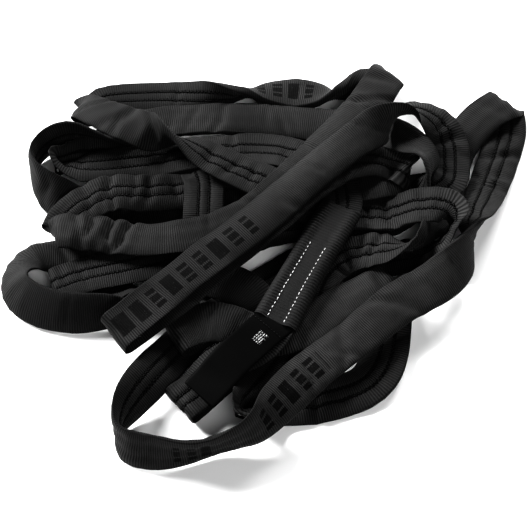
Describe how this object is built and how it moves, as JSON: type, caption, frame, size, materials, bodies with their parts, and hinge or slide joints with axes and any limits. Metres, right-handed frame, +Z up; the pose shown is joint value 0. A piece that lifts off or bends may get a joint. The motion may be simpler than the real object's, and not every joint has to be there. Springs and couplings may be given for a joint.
{
  "type": "round sling",
  "caption": "Endless polyester round sling with a flat woven cover, lying in a loose heap, with a ribbed label sleeve and a hinged label tag.",
  "frame": {"origin": "under the middle of the heap's outline, on the surface it rests on", "axes": "+X to the right along the heap's longest side, +Y to the back, +Z up"},
  "size_m": [0.693, 0.6001, 0.0859],
  "materials": {
    "cover_fabric": "matt near-black woven polyester with fine cross ribs",
    "core_yarn": "off-white filament yarn",
    "seam_thread": "black sewing thread",
    "sleeve_webbing": "dark grey ribbed webbing",
    "white_thread": "white sewing thread",
    "tag_fabric": "plain black coated fabric"
  },
  "bodies": {
    "sling": {"cover_sleeve": "cover_fabric", "core_yarn_left": "core_yarn", "core_yarn_middle": "core_yarn", "core_yarn_right": "core_yarn", "seam_thread_left": "seam_thread", "seam_thread_right": "seam_thread", "cover_join_stitches": "seam_thread", "label_sleeve": "sleeve_webbing", "sleeve_stitches_left": "white_thread", "sleeve_stitches_right": "white_thread", "tag_anchor": "tag_fabric", "tag_stitches": "seam_thread"},
    "label_tag": {"label_tag": "tag_fabric"}
  },
  "joints": [
    {"name": "tag_lift", "type": "hinge", "parent": "sling", "child": "label_tag", "pos_m": [-0.01135, -0.13581, 0.0442], "axis": [-0.7193, 0.6947, 0], "range_deg": [0, 60]}
  ]
}
